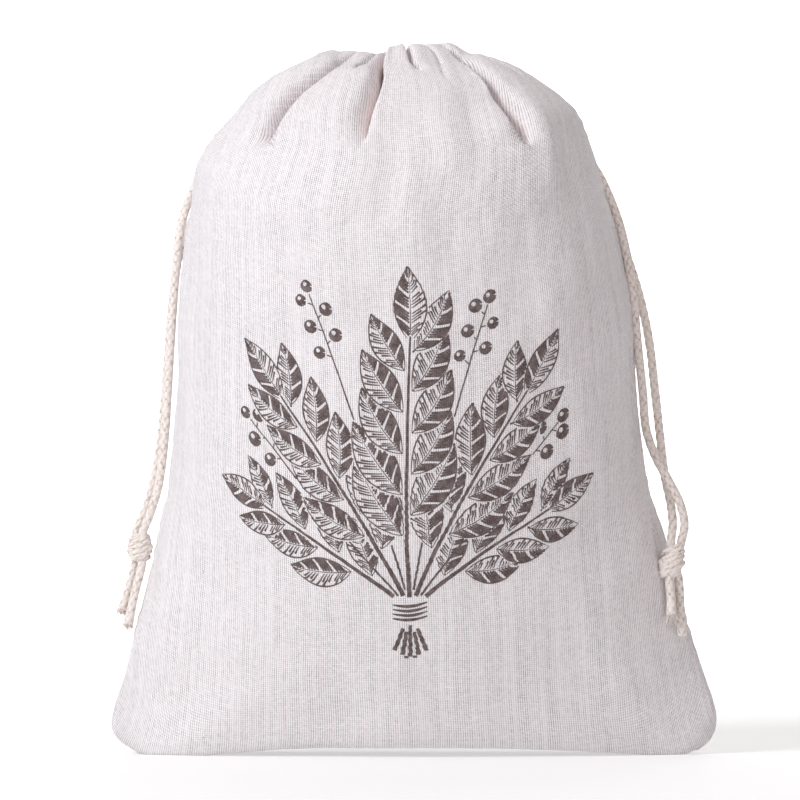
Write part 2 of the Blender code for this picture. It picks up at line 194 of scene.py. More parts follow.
CLOTH_THICKNESS = 1.2
SHEET_COLUMNS = 288
SHEET_ROW_STEPS = ((0.0, 2.0), (40.0, 3.6), (270.0, 2.2), (360.0, 1.3))  # from a level, a step
ROW_SAMPLES = 1600
THREAD_CONVERGENCE = 0.25  # how much of the gathering shows as threads drawn together

# ---- Cords, as in the CAD model: the free strands, the tails below the knots, and the knots.
CORD_ROUTES = {
    "left_front": (
        (-43.6, 20.9, 348.1), (-51.5, 27.3, 341.4), (-62.6, 36.2, 330.6), (-76.4, 40.8, 317.6),
        (-92.4, 37.4, 304.4), (-105.4, 28.6, 291.6), (-111.6, 18, 280.2), (-115.4, 8.2, 268.6),
        (-117.7, 1.2, 256), (-119.1, -1.6, 240), (-121.3, -2, 209), (-123.1, -2, 179),
        (-124.9, -2.6, 153), (-128.4, -3.5, 130), (-132.3, -3.6, 118), (-135.3, -3.2, 110.5)),
    "left_rear": (
        (-39.2, 28.4, 346.6), (-46.8, 34.4, 339.8), (-56.4, 41.8, 327.8), (-67.4, 48.2, 312.6),
        (-84.4, 48.2, 297.2), (-100, 40.6, 282.8), (-110.8, 27.8, 268.4), (-117, 13.6, 253.4),
        (-119.8, 5.4, 236), (-122.3, 3.4, 208), (-124.6, 3.2, 178), (-127.2, 2.6, 152),
        (-131.2, 1.8, 131), (-135.2, 1.8, 119), (-138.5, 1.8, 111.5)),
    "right_inner": (
        (28.6, 20.9, 348.1), (40, 28, 341), (51.6, 35.6, 330.6), (66.4, 39.6, 317.2),
        (80.8, 34.8, 304.4), (91.2, 23, 291.6), (97.3, 12.2, 278.4), (102.1, 4.2, 264.6),
        (105.4, -2, 250), (107.9, -5.8, 234), (110.8, -8, 205), (113.4, -8.5, 180),
        (115.4, -9, 160), (120, -13, 147), (126, -16.5, 136), (131.8, -17, 124),
        (133.8, -15.5, 114.5), (132, -15.4, 105)),
    "right_outer": (
        (24.7, 28, 347.2), (35, 35.2, 339.6), (44.6, 42, 327.6), (58, 48.6, 312),
        (73.2, 47.6, 296.2), (87.2, 39.2, 282.6), (97.4, 27.4, 269), (104, 16, 254.6),
        (108.4, 8, 241.6), (112, 3.2, 229), (117, 0, 205), (119.4, -1, 184), (122, -3, 160),
        (124.6, -8, 137), (127.2, -11.4, 124), (128, -14.6, 114), (127, -17.2, 105.7)),
}
TAIL_ROUTES = {
    "left_front": ((-135.8, -3.2, 94.5), (-139.3, -3.8, 80), (-142.7, -3.8, 64)),
    "left_rear": ((-139.2, 2, 95), (-142.2, 1.6, 83.5), (-145.9, 1.4, 71)),
    "right_inner": ((126.2, -19.4, 86.4), (127, -20.2, 77), (127, -21.4, 69.4)),
    "right_outer": ((131, -16, 86.5), (131.8, -15.6, 73), (132.8, -16.2, 58.9)),
}
# A knot's place, its tilt, its length and width, and how its turns slant.
KNOTS = {
    "left": (-137, -0.6, 102.8, -8, 16, 13, 0.22),
    "right": (127.4, -17, 96.4, 4, 17.6, 13, 0.78),
}
CORD_STEP = 0.55
CORD_SIDES = 28
PLAIT_STRANDS = 4  # carriers in each of the two directions
PLAIT_PITCH = 5.2
PLAIT_DEPTH = 0.42
PLAIT_DIVE = 0.45  # a strand lies this share lower where it dives under another
CORD_END_ROUNDING = 0.16
CORD_END_FLARE = 0.16  # a cut end opens by this share
CORD_FLARE_LENGTH = 1.3  # over this many diameters


# ---- Small helpers.
def smooth_step(low, high, value):
    t = np.clip((value - low) / (high - low), 0.0, 1.0)
    return t * t * (3 - 2 * t)


def rows_at(table, positions):
    """The table's rows at positions in its first column, on smooth curves through its rows."""
    values = np.array(table, dtype=float)
    knots = values[:, 0]
    slopes = np.gradient(values, knots, axis=0)
    positions = np.clip(positions, knots[0], knots[-1])
    index = np.clip(np.searchsorted(knots, positions) - 1, 0, len(knots) - 2)
    span = (knots[index + 1] - knots[index])[:, None]
    t = (positions - knots[index])[:, None] / span
    start, end = values[index], values[index + 1]
    blend = (2 * t**3 - 3 * t**2 + 1) * start + (3 * t**2 - 2 * t**3) * end
    blend += span * ((t**3 - 2 * t**2 + t) * slopes[index] + (t**3 - t**2) * slopes[index + 1])
    return blend


def ripple(across, along, wavelength, seed):
    """A smooth uneven pattern between about -1 and 1, the same in every run."""
    draw = np.random.default_rng(seed)
    total = np.zeros(np.shape(across))
    for _ in range(RIPPLE_WAVES):
        heading = draw.uniform(0, math.pi)
        length = wavelength * draw.uniform(0.7, 1.5)
        phase = draw.uniform(0, 2 * math.pi)
        total += np.cos((across * math.cos(heading) + along * math.sin(heading))
                        * 2 * math.pi / length + phase)
    return total / math.sqrt(RIPPLE_WAVES)


def hump(value, place, width):
    """A smooth bell, 1 at its place and near 0 twice its width away."""
    return np.exp(-((value - place) / width) ** 2)


def distances(points):
    """How far along a line each of its points is."""
    return np.concatenate(((0.0,), np.cumsum(np.linalg.norm(np.diff(points, axis=0), axis=1))))


def unit(vectors):
    return vectors / np.maximum(np.linalg.norm(vectors, axis=-1, keepdims=True), 1e-9)


def points_at(spots, places, points):
    """Points at spots along a line whose own points are at places along it."""
    return np.stack([np.interp(spots, places, column) for column in points.T], axis=1)


def add_object(name, data):
    thing = bpy.data.objects.new(name, data)
    bpy.context.scene.collection.objects.link(thing)
    return thing


def add_map(mesh, name, uv):
    """A UV map from a pair of numbers for each point."""
    layer = mesh.uv_layers.new(name=name)
    corner = np.zeros(len(mesh.loops), dtype=int)
    mesh.loops.foreach_get("vertex_index", corner)
    layer.data.foreach_set("uv", np.asarray(uv)[corner].astype(np.float32).ravel())


def mesh_piece(name, points, faces, uv, material, uv_name="cloth"):
    """A smooth object from points in millimetres; uv gives each point's place in the map."""
    mesh = bpy.data.meshes.new(name)
    mesh.from_pydata((np.asarray(points) * MM).tolist(), [], faces)
    if uv is not None:
        add_map(mesh, uv_name, uv)
    shape = bmesh.new()
    shape.from_mesh(mesh)
    bmesh.ops.recalc_face_normals(shape, faces=shape.faces)
    shape.to_mesh(mesh)
    shape.free()
    mesh.shade_smooth()
    mesh.materials.append(material)
    return add_object(name, mesh)


def grid_faces(rows, columns, first=0, flip=False):
    """Four-sided faces over a grid of points."""
    corner = first + (np.arange(rows - 1)[:, None] * columns + np.arange(columns - 1)).ravel()
    faces = np.stack((corner, corner + 1, corner + columns + 1, corner + columns), axis=1)
    return (faces[:, ::-1] if flip else faces).tolist()


# ---- Camera, floor and light.
def add_camera():
    camera = add_object("camera", bpy.data.cameras.new("camera"))
    camera.data.sensor_width = SENSOR
    camera.data.lens = SENSOR * CAMERA_DISTANCE / (IMAGE_SIDE * MM_PER_PIXEL)
    camera.data.clip_end = 50.0
    camera.location = (CAMERA_X * MM, -CAMERA_DISTANCE * MM, CAMERA_Z * MM)
    camera.rotation_euler = (math.radians(90), 0, 0)
    bpy.context.scene.camera = camera


BAG_MIDDLE = (0.0, 0.0, 0.16)
# Name, place, target, size, power and colour.
LIGHTS = (
    ("key", (-1.56, -1.28, 1.40), BAG_MIDDLE, 0.9, 36.6, (0.955, 0.972, 1.0)),
    ("fill", (0.9, -2.2, 1.1), BAG_MIDDLE, 1.6, 6.6, (1.0, 0.86, 0.88)),
    ("top", (0.05, -0.25, 2.0), BAG_MIDDLE, 1.4, 10.0, (1.0, 0.965, 0.965)),
    ("behind", (0.4, 1.9, 0.9), BAG_MIDDLE, 1.6, 6.0, (1.0, 0.985, 0.98)),
    ("backdrop", (0.0, 2.6, 3.2), (0.0, 6.5, 0.3), 3.0, 420.0, (1.0, 1.0, 1.0)),
)
WORLD_COLOUR = (1.0, 0.93, 0.935)
WORLD_STRENGTH = 0.25


def add_lights():
    for name, place, target, size, power, colour in LIGHTS:
        data = bpy.data.lights.new(name, "AREA")
        data.shape = "DISK"
        data.size = size
        data.energy = power
        data.color = colour
        light = add_object(name, data)
        light.location = place
        x, y, z = np.subtract(target, place)
        light.rotation_euler = (math.atan2(math.hypot(x, y), -z), 0, math.pi + math.atan2(x, -y))
    world = bpy.data.worlds.new("studio")
    world.use_nodes = True
    background = world.node_tree.nodes["Background"]
    background.inputs["Color"].default_value = (*WORLD_COLOUR, 1.0)
    background.inputs["Strength"].default_value = WORLD_STRENGTH
    bpy.context.scene.world = world
    bpy.context.scene.view_settings.view_transform = "Standard"


FLOOR_HALF_WIDTH = 6.0
FLOOR_BACK = 5.0  # where the floor starts to curve up into the backdrop
SWEEP_RADIUS = 1.5
SWEEP_STEPS = 24
BACKDROP_HEIGHT = 5.0
# A lit table: the picture has a white ground with faint shadows.
FLOOR_FINISH = {"Base Color": (0.62, 0.617, 0.617, 1.0), "Roughness": 0.85,
                "Emission Color": (1.0, 0.995, 0.995, 1.0), "Emission Strength": 0.36}


def add_floor():
    """A pale floor that curves up into a backdrop."""
    profile = [(-FLOOR_HALF_WIDTH, 0.0)]
    for step in range(SWEEP_STEPS + 1):
        turn = math.pi / 2 * step / SWEEP_STEPS
        profile.append((FLOOR_BACK + SWEEP_RADIUS * math.sin(turn),
                        SWEEP_RADIUS * (1 - math.cos(turn))))
    profile.append((FLOOR_BACK + SWEEP_RADIUS, BACKDROP_HEIGHT))
    points = [(x / MM, y / MM, z / MM) for y, z in profile
              for x in (-FLOOR_HALF_WIDTH, FLOOR_HALF_WIDTH)]
    material, nodes, shader = new_material("floor_paper")
    nodes.fill(shader, FLOOR_FINISH)
    floor = mesh_piece("floor", points, grid_faces(len(profile), 2), None, material)


# ---- Materials.
class NodeBuilder:
    """Adds nodes to a tree with short calls; each call returns an output socket."""

    def __init__(self, tree):
        self.tree = tree

    def fill(self, node, inputs):
        for name, value in inputs.items():
            if isinstance(value, bpy.types.NodeSocket):
                self.tree.links.new(value, node.inputs[name])
            else:
                node.inputs[name].default_value = value

    def add(self, kind, output, inputs, **settings):
        node = self.tree.nodes.new(kind)
        for name, value in settings.items():
            setattr(node, name, value)
        self.fill(node, inputs)
        return node.outputs[output]

    def math(self, operation, *values):
        return self.add("ShaderNodeMath", 0, dict(enumerate(values)), operation=operation)

    def times(self, first, second):
        return self.math("MULTIPLY", first, second)

    def line(self, value, slope, base):
        return self.math("MULTIPLY_ADD", value, slope, base)

    def vector(self, x, y, z=0.0):
        return self.add("ShaderNodeCombineXYZ", 0, {"X": x, "Y": y, "Z": z})

    def noise(self, vector, scale, detail=2.0, roughness=0.5):
        return self.add("ShaderNodeTexNoise", "Fac", {"Vector": vector, "Scale": scale,
                                                      "Detail": detail, "Roughness": roughness})

    def dice(self, vector):
        """A number from 0 to 1 that differs from one whole place to the next."""
        return self.add("ShaderNodeTexWhiteNoise", "Value", {"Vector": vector})

    def remap(self, value, low, high, to_low, to_high):
        return self.add("ShaderNodeMapRange", "Result", {"Value": value, "From Min": low,
                        "From Max": high, "To Min": to_low, "To Max": to_high})

    def mix(self, share, first, second):
        return self.add("ShaderNodeMix", "Result", {"Factor": share, "A": first, "B": second},
                        data_type="RGBA")

    def place(self, uv_name):
        """The two coordinates of a UV map."""
        uv = self.add("ShaderNodeUVMap", "UV", {}, uv_map=uv_name)
        return [self.add("ShaderNodeSeparateXYZ", axis, {"Vector": uv}) for axis in "XY"]


def new_material(name):
    material = bpy.data.materials.new(name)
    material.use_nodes = True
    return material, NodeBuilder(material.node_tree), material.node_tree.nodes["Principled BSDF"]


def finish_soft(nodes, shader, colour, height, bump, roughness, sheen):
    """Joins a colour and a relief to the shader of a matt, soft material."""
    relief = nodes.add("ShaderNodeBump", "Normal", {"Height": height, "Distance": bump})
    nodes.fill(shader, {"Base Color": colour, "Normal": relief, "Roughness": roughness,
                        "Specular IOR Level": 0.25, "Sheen Weight": sheen,
                        "Sheen Roughness": 0.5})


WARP_PITCH = 0.00112  # metres between threads that run up the bag
WEFT_PITCH = 0.00100
THREAD_SWAY = (160.0, 22.0, 0.4)  # the sway's scale across and along threads, and its size
THREAD_OWN = (7.31, 7.0)  # scale of a thread's own strength, by number and along it
GAP_SHARE = 0.32  # half of a gap's width, as a share of the pitch
GAP_FAINTEST = 0.48
LINEN_PALE = (0.925, 0.891, 0.905, 1.0)
LINEN_DEEP = (0.035, 0.026, 0.028, 1.0)
PAINTED_FOLD_SHADE = (0.93, 0.795, 0.76, 1.0)  # painted warm shade in the deep folds, as light bouncing in them gives; it shows less of the weave
PAINTED_FOLD_SHADE_SHARE = 0.55
PAINTED_FOLD_SHADE_DEPTHS = (1.5, 9.0)
FLECK_COLOURS = ((0.36, 0.37, 0.42, 1.0), (0.62, 0.46, 0.30, 1.0))
INK_COLOUR = (0.105, 0.075, 0.072, 1.0)
INK_WORN = (0.24, 0.195, 0.19, 1.0)
CLOTH_FINISH = (0.00022, 0.88, 0.12)  # relief in metres, roughness and sheen


def thread_set(nodes, place, other, pitch, seed):
    """Each thread's number and height from 0 to 1, how open the gap beside it is, and a pattern
    that runs slowly along it."""
    sway = nodes.noise(nodes.vector(nodes.times(place, THREAD_SWAY[0]),
                                    nodes.times(other, THREAD_SWAY[1]), seed), 1.0)
    turn = nodes.line(place, 1 / pitch, nodes.times(sway, THREAD_SWAY[2]))
    number = nodes.math("FLOOR", turn)
    from_middle = nodes.math("ABSOLUTE", nodes.math("SUBTRACT", nodes.math("FRACT", turn), 0.5))
    height = nodes.remap(from_middle, 0.0, 0.5, 1.0, 0.0)
    gap = nodes.remap(from_middle, 0.5 - GAP_SHARE, 0.5 - 0.3 * GAP_SHARE, 0.0, 1.0)
    own = nodes.noise(nodes.vector(nodes.times(number, THREAD_OWN[0]),
                                   nodes.times(other, THREAD_OWN[1]), seed), 1.0)
    return number, height, gap, own


def weave(nodes):
    """The woven cloth's two coordinates, its threads' height and the gaps between them."""
    across, along = nodes.place("cloth")
    warp, warp_height, warp_gap, warp_own = thread_set(nodes, across, along, WARP_PITCH, 3.0)
    weft, weft_height, weft_gap, weft_own = thread_set(nodes, along, across, WEFT_PITCH, 8.0)
    warp_over = nodes.math("PINGPONG", nodes.math("ADD", warp, weft), 1.0)
    height = nodes.math("ADD", nodes.times(warp_height, nodes.line(warp_over, 0.6, 0.4)),
                        nodes.times(weft_height, nodes.line(warp_over, -0.6, 0.8)))
    strength = nodes.remap(warp_own, 0.36, 0.62, GAP_FAINTEST, 1.0)
    crossing = nodes.dice(nodes.vector(warp, weft, 1.0))
    gaps = nodes.times(nodes.times(warp_gap, strength),
                       nodes.times(nodes.line(weft_gap, 0.5, 0.5),
                                   nodes.line(crossing, 0.65, 0.35)))
    weft_gaps = nodes.times(weft_gap, nodes.remap(weft_own, 0.4, 0.6, 0.0, 0.10))
    return across, along, height, nodes.math("MAXIMUM", gaps, weft_gaps)


def woven_linen(nodes):
    """The cloth's two coordinates, its threads' height, and its colour: pale threads, darker
    gaps, and a few coloured flecks."""
    across, along, height, gaps = weave(nodes)
    bands = nodes.noise(nodes.vector(across, nodes.times(along, 0.12), 2.0), 150.0)
    shade = nodes.times(gaps, nodes.remap(bands, 0.35, 0.65, 0.86, 1.0))
    colour = nodes.mix(shade, LINEN_PALE, LINEN_DEEP)
    for number, fleck_colour in enumerate(FLECK_COLOURS):
        speck = nodes.noise(nodes.vector(nodes.times(across, 620.0), nodes.times(along, 300.0),
                                         11.0 + 5.0 * number), 1.0, 1.0)
        colour = nodes.mix(nodes.remap(speck, 0.79, 0.83, 0.0, 0.7), colour, fleck_colour)
    return across, along, height, colour


def linen_material():
    material, nodes, shader = new_material("linen_weave")
    _, _, height, colour = woven_linen(nodes)
    # Painted shade: the deeper the pleat at a point, the more of a warm, darker colour is mixed
    # into the linen.
    fold_shade_share = nodes.remap(nodes.place("fold")[0], *PAINTED_FOLD_SHADE_DEPTHS, 0.0, PAINTED_FOLD_SHADE_SHARE)
    finish_soft(nodes, shader, nodes.mix(fold_shade_share, colour, PAINTED_FOLD_SHADE), height, *CLOTH_FINISH)
    return material


def ink_material():
    """Ink on the same weave: it misses some of the gaps and is thinner in places."""
    material, nodes, shader = new_material("print_ink")
    across, along, height, cloth = woven_linen(nodes)
    worn = nodes.noise(nodes.vector(across, along), 260.0, 4.0, 0.65)
    ink = nodes.mix(nodes.remap(worn, 0.42, 0.68, 0.0, 0.8), INK_COLOUR, INK_WORN)
    pinholes = nodes.noise(nodes.vector(across, along, 4.0), 1500.0, 2.0, 0.7)
    missed = nodes.times(nodes.remap(pinholes, 0.60, 0.68, 0.0, 0.75),
                         nodes.remap(height, 0.1, 0.5, 1.0, 0.35))
    finish_soft(nodes, shader, nodes.mix(missed, ink, cloth), height, *CLOTH_FINISH)
    return material


CORD_PALE = (0.85, 0.79, 0.748, 1.0)
# Painted shade for the plait's grooves.
CORD_GROOVE_SHADE = (0.30, 0.195, 0.12, 1.0)
CORD_FLECK = (0.58, 0.44, 0.32, 1.0)
CORD_FINISH = (0.00012, 0.85, 0.15)


def cord_material():
    """Cotton yarn with painted shade in the plait's grooves, in uneven patches and specks; the
    map's first coordinate is how high the plait stands at the point, and the lower it stands the
    more shade is painted.
    """
    material, nodes, shader = new_material("plaited_cotton")
    place = nodes.add("ShaderNodeTexCoord", "Object", {})
    fibres = nodes.noise(place, 1400.0, 3.0, 0.6)
    patches = nodes.remap(nodes.noise(place, 260.0), 0.38, 0.58, 0.45, 1.0)
    specks = nodes.remap(nodes.noise(place, 760.0, 1.0), 0.38, 0.60, 0.15, 1.0)
    groove_shade = nodes.times(nodes.remap(nodes.place("plait")[0], 0.10, 0.90, 1.0, 0.0),
                         nodes.times(patches, specks))
    colour = nodes.mix(groove_shade, CORD_PALE, CORD_GROOVE_SHADE)
    colour = nodes.mix(nodes.remap(fibres, 0.6, 0.75, 0.0, 0.4), colour, CORD_FLECK)
    finish_soft(nodes, shader, colour, fibres, *CORD_FINISH)
    return material


# ---- The bag's surface.
def level_at(cloth):
    return dict(zip(LEVEL_COLUMNS, rows_at(LEVELS, np.array([cloth]))[0]))


def smooth_points(level, angles):
    """Points of the bag at angles round it, before anything is pressed in."""
    turn = np.radians(angles)
    across, along = (np.sign(part) * np.abs(part) ** (2.0 / level["fullness"])
                     for part in (np.sin(turn), np.cos(turn)))
    half_width = (level["right"] - level["left"]) / 2
    x = (level["right"] + level["left"]) / 2 + half_width * across
    y = -along * np.where(along > 0, level["front"], level["back"])
    share = level["level_share"]
    rise = np.maximum(0.0, (np.abs(across) - share) / (1 - share)) ** 2
    arch = np.maximum(0.0, 1 - ((x - ARCH_CENTRE) / ARCH_HALF_SPAN) ** 2)
    lift = ARCH_RISE * arch * max(0.0, 1 - level["z_mid"] / ARCH_FADE_HEIGHT)
    z = level["z_mid"] + lift + (level["z_side"] - level["z_mid"]) * rise
    return np.stack((x, y, np.maximum(0.0, z)), axis=1)


def outward(cloth, angles):
    """Unit normals of the bag without its folds."""
    turn, step = 1.5, 1.0
    level = level_at(cloth)
    around = smooth_points(level, angles + turn) - smooth_points(level, angles - turn)
    flat = ~around.any(axis=1)
    around[flat, 1] = np.sin(np.radians(angles[flat]))
    up = (smooth_points(level_at(cloth + step), angles)
          - smooth_points(level_at(cloth - step), angles))
    return unit(np.cross(around, up))


def pleat_lift(pleats, cloth, angles, arc):
    """How far the pleats press the cloth in (negative) or push their lips out."""
    lift = np.zeros(len(angles))
    tightness = 1 - PLEAT_TIGHTENING * smooth_step(*PLEAT_TIGHT_LEVELS, cloth)
    for angle_start, angle_ring, start, full_depth, lip, slope, onset in pleats:
        way = np.clip((cloth - start) / (GATHER_LEVEL - start), 0.0, 1.0)
        depth = full_depth * math.sin(min(1.0, way / onset) * math.pi / 2) ** PLEAT_ONSET_POWER
        if cloth > GATHER_LEVEL:
            fade = (cloth - GATHER_LEVEL) / (MOUTH_LEVEL - GATHER_LEVEL)
            depth += (min(depth, PLEAT_MOUTH_DEPTH) - depth) * fade
        centre = angle_start + (angle_ring - angle_start) * way**2
        away = (arc - np.interp(centre, angles, arc)) * lip
        across = away / (slope * tightness)
        lip_side = 1 - smooth_step(0.0, PLEAT_LIP_WIDTH, away)
        gentle_side = np.clip(1 + across, 0.0, 1.0) ** PLEAT_HOLLOW
        lift -= depth * np.where(away > 0, lip_side, gentle_side)
        for place, (share, middle, width) in ((away, PLEAT_SLOT), (away, PLEAT_LIP),
                                              (across, PLEAT_CREST)):
            lift += depth * share * hump(place, middle, width)
    return lift


def swell_lift(swells, cloth, angles, arc):
    """Soft troughs and ridges; each fades in and out at its two ends."""
    lift = np.zeros(len(angles))
    for low, low_angle, high, high_angle, depth, width in swells:
        way = (cloth - low) / (high - low)
        if 0 < way < 1:
            middle = np.interp(low_angle + (high_angle - low_angle) * way, angles, arc)
            depth *= math.sin(math.pi * way) ** SWELL_FADE_POWER
            lift -= depth * hump(arc, middle, width)
    return lift


def cloth_lift(cloth, across, seam_distance, height):
    """Ripples, seam puckers, the casing's gathers and its bulge."""
    calm = (smooth_step(3.0, 30.0, height)
            * (1 - RIPPLE_CALM * smooth_step(*RIPPLE_CALM_LEVELS, cloth)))
    lift = np.zeros(len(across))
    nowhere = np.zeros(len(across))
    for size, wavelength, seed in RIPPLES:
        lift += size * ripple(across, cloth, wavelength, seed) * calm
    sway, *pattern = PUCKER_SWAY
    pucker = np.sin(2 * math.pi * cloth / PUCKER_PITCH
                    + sway * ripple(nowhere + cloth, nowhere, *pattern))
    lift += PUCKER_HEIGHT * pucker * hump(seam_distance, 0.0, PUCKER_REACH) * calm
    gather = GATHER_HEIGHT * smooth_step(GATHER_START, GATHER_LEVEL + 6, cloth)
    sway, *pattern = GATHER_SWAY
    turn = 2 * math.pi * across / GATHER_PITCH + sway * ripple(across, nowhere, *pattern)
    fade, *pattern = GATHER_FADE
    lift += gather * np.cos(turn) * (1 - fade + fade * ripple(across, nowhere, *pattern))
    lift += CASING_BULGE * hump(cloth, *CASING_BULGE_PLACE)
    return lift - CASING_STITCH_DIP * hump(cloth, *CASING_STITCH_PLACE)


def sheet_levels():
    """Levels of a sheet's rows, from the bottom seam to the mouth."""
    levels = []
    ends = [start for start, _ in SHEET_ROW_STEPS[1:]] + [MOUTH_LEVEL]
    for (start, step), end in zip(SHEET_ROW_STEPS, ends):
        levels += np.linspace(start, end, round((end - start) / step), endpoint=False).tolist()
    return np.array(levels + [MOUTH_LEVEL])


def sheet_row(cloth, side, pleats, swells):
    """One row of a panel's outer surface, in even steps along the folded cloth, the places of
    its points across the weave, whose threads run nearly straight up, and its pleats' depth."""
    level = level_at(cloth)
    seams = (level["left_seam"], level["right_seam"])
    if side > 0:
        seams = (level["right_seam"], level["left_seam"] + 360)
    angles = np.linspace(*seams, ROW_SAMPLES)
    base = smooth_points(level, angles)
    arc = distances(base)
    normals = outward(cloth, angles)
    pleat = pleat_lift(pleats, cloth, angles, arc)
    fold = pleat + swell_lift(swells, cloth, angles, arc)
    share = distances(base + normals * fold[:, None])
    share /= share[-1]
    across = (0.5 - share) * FLAT_WIDTH * side
    edge = np.minimum(arc, arc[-1] - arc)
    small = cloth_lift(cloth, across, edge, base[:, 2])
    seam_fade = smooth_step(0.0, SEAM_WIDTH, edge)
    lift = (fold * smooth_step(-1.0, 5.0, edge) + small) * seam_fade
    points = base + normals * lift[:, None]
    roll = SEAM_GAP / 2 + (SEAM_ROLL - SEAM_GAP / 2) * seam_fade * (cloth > 0)
    points[:, 1] += side * roll
    points[:, 2] -= (np.interp(points[:, 0], *np.transpose(CREST_DROPS))
                     * smooth_step(*CREST_FADE, points[:, 2]))
    points[:, 2] = np.maximum(points[:, 2], 0.0)
    even = np.linspace(0, 1, SHEET_COLUMNS)
    threads = (np.interp(90.0 + 90.0 * side, angles, arc) - np.interp(even, share, arc)) * side
    threads *= 1 + THREAD_CONVERGENCE * (FLAT_WIDTH / arc[-1] - 1)
    return points_at(even, share, points), threads, np.interp(even, share, -pleat)


def grid_normals(grid):
    """Outward unit normals of a grid of points."""
    return unit(np.cross(np.gradient(grid, axis=1), np.gradient(grid, axis=0)))


def make_sheet(name, node, side, pleats, swells, material):
    """One linen panel as a thin closed sheet with its pleats, creases and puckers."""
    levels = sheet_levels()
    made = [sheet_row(cloth, side, pleats, swells) for cloth in levels]
    outer, across, depth = (np.array(part) for part in zip(*made))
    normals = grid_normals(outer)
    normals[0] = (0.0, 0.0, -1.0)
    inner = outer - CLOTH_THICKNESS * normals
    inner[0] = outer[0] + np.array((0.0, 0.0, CLOTH_THICKNESS))
    inner[:, :, 2] = np.maximum(inner[:, :, 2], 0.3)
    rows, columns = outer.shape[:2]
    count = rows * columns
    points = np.concatenate((outer.reshape(-1, 3), inner.reshape(-1, 3)))
    faces = grid_faces(rows, columns) + grid_faces(rows, columns, count, True)
    number = np.arange(count).reshape(rows, columns)
    rim = np.concatenate((number[0], number[1:, -1], number[-1, -2::-1], number[-2:0:-1, 0]))
    after = np.roll(rim, -1)
    faces += np.stack((after, rim, rim + count, after + count), axis=1).tolist()
    uv = np.stack((across.ravel(), np.repeat(levels, columns)), axis=1) * MM
    piece = mesh_piece(name, points, faces, np.tile(uv, (2, 1)), material)
    # The pleats' depth at each point, which sets how much painted shade the folds get.
    add_map(piece.data, "fold", np.tile(np.stack((depth.ravel(), uv[:, 0] * 0.0), axis=1), (2, 1)))
    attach(piece, "root")
    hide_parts(node)
    return piece, {"points": outer, "normals": normals, "across": across, "levels": levels}


# ---- Cords.
def curve_through(route, step):
    """Points about one step apart on a smooth curve through a route's points."""
    points = np.array(route, dtype=float)
    places = distances(points)
    count = max(3, round(places[-1] / step))
    table = np.column_stack((places, points))
    return rows_at(table, np.linspace(0, places[-1], count + 1))[:, 1:]


def path_frames(path):
    """Two directions square to the path at each point, turned as little as can be."""
    along = unit(np.gradient(path, axis=0))
    first = np.cross(along[0], (0.0, 1.0, 0.0))
    firsts = []
    for ahead in along:
        first = unit(first - ahead * np.dot(first, ahead))
        firsts.append(first)
    return np.array(firsts), np.cross(along, firsts)


def plait_relief(along, turn):
    """How high the plait stands, from 0 in its grooves to 1 on its strands."""
    ways = [PLAIT_STRANDS * turn / (2 * math.pi) + way * along / PLAIT_PITCH for way in (1, -1)]
    first_over = (np.floor(ways[0]) + np.floor(ways[1])) % 2 == 0
    first, second = (2 * (way - np.floor(way)) - 1 for way in ways)
    across = np.where(first_over, first, second)
    length = np.where(first_over, second, first)
    return np.sqrt(np.maximum(0.0, 1 - across**2)) * (1 - PLAIT_DIVE * length**2)


def tube(centres, radii, firsts, seconds):
    """Points and faces of a closed tube: one row of radii, round the tube, for each centre."""
    rings, sides = radii.shape
    turn = np.linspace(0, 2 * math.pi, sides, endpoint=False)[:, None]
    rounds = np.cos(turn) * firsts[:, None, :] + np.sin(turn) * seconds[:, None, :]
    points = centres[:, None, :] + radii[:, :, None] * rounds
    number = np.arange(rings * sides).reshape(rings, sides)
    after = np.roll(number, -1, axis=1)
    faces = np.stack((number[:-1], after[:-1], after[1:], number[1:]), axis=-1)
    ends = [number[0, ::-1].tolist(), number[-1].tolist()]
    return points.reshape(-1, 3), faces.reshape(-1, 4).tolist() + ends


def joined(parts):
    """One mesh from the points, faces and map of several."""
    faces, first = [], 0
    for part in parts:
        faces += [[first + corner for corner in face] for face in part[1]]
        first += len(part[0])
    return (np.concatenate([part[0] for part in parts]), faces,
            np.concatenate([part[2] for part in parts]))


def plaited_tube(path, diameter, depth, first_turn=0.0, flare=0.0):
    """Points, faces and map of a plaited cord with rounded ends."""
    along = distances(path)
    turn = np.linspace(0, 2 * math.pi, CORD_SIDES, endpoint=False)
    relief = plait_relief(along[:, None], turn + first_turn)
    radius = diameter / 2 - depth * (1 - relief)
    end = np.minimum(along, along[-1] - along)
    radius *= np.sqrt(np.clip(end / (CORD_END_ROUNDING * diameter), 0.10, 1.0))[:, None]
    radius *= 1 + flare * hump(along[:, None], along[-1], CORD_FLARE_LENGTH * diameter)
    uv = np.stack((relief.ravel(), np.repeat(along, CORD_SIDES)), axis=1)
    return (*tube(path, radius, *path_frames(path)), uv)


# How many yarns a frayed end has, the shortest and the longest, and how far they spread.
FRAYS = {
    "left_front": (70, 2.6, 4.0, 0.30),
    "left_rear": (70, 2.8, 4.4, 0.40),
    "right_inner": (60, 3.4, 6.4, 0.60),
}
FRAY_DEPTH = 2.2  # the yarns start this far inside the cut end
FRAY_SECTION = (0.02, 0.85)  # the part of the cord's section that they stand in
FRAY_RADIUS = 0.27
FRAY_TAPER = 0.55
FRAY_BEND = (0.6, 0.35)  # how uneven their bends are, and how strong
FRAY_CURL = 0.55  # how far a yarn winds from side to side, towards its tip
FRAY_WIND = 7.0  # how far round it winds
FRAY_STEPS = 8
FRAY_SIDES = 4


